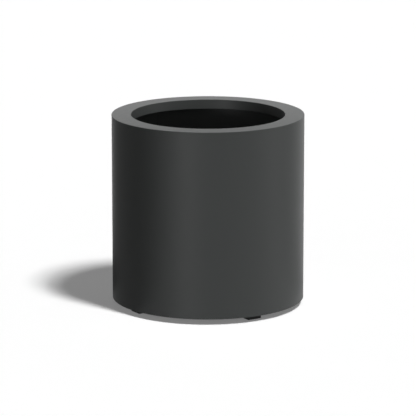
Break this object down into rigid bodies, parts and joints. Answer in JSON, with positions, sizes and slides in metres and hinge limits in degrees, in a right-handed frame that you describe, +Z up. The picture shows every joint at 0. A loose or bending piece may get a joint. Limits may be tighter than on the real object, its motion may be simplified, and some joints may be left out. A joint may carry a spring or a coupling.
{
  "type": "round floor planter",
  "caption": "Round floor planter in dark powder-coated aluminium: a straight cylinder with a wide flat rim and a turned-down lip, a raised base with drain holes, and square feet.",
  "frame": {"origin": "on the floor, under the middle of the planter: the centre of the bottom of the bounding box, level with the undersides of the feet", "axes": "+Z up along the cylinder's axis; -Y is the front and points at foot_front; +X points at foot_right; the wall's inside seam is at +Y"},
  "size_m": [0.4999, 0.5, 0.5],
  "materials": {
    "powder_coat": "satin",
    "foot_plastic": "matte",
    "stainless": "satin",
    "nylon": "satin"
  },
  "bodies": {
    "root": {"wall": "powder_coat", "rim_ring": "powder_coat", "rim_lip": "powder_coat", "base_plate": "powder_coat", "seam_weld_bead": "powder_coat", "lip_seam_bead": "powder_coat", "base_weld_beads": "powder_coat", "rim_weld_beads": "powder_coat", "lip_weld_beads": "powder_coat", "foot_front": "foot_plastic", "foot_right": "foot_plastic", "foot_back": "foot_plastic", "foot_left": "foot_plastic", "foot_screws": "stainless", "head_washers": "stainless", "plate_washers": "stainless", "lock_nuts": "stainless", "nut_inserts": "nylon"}
  },
  "joints": []
}
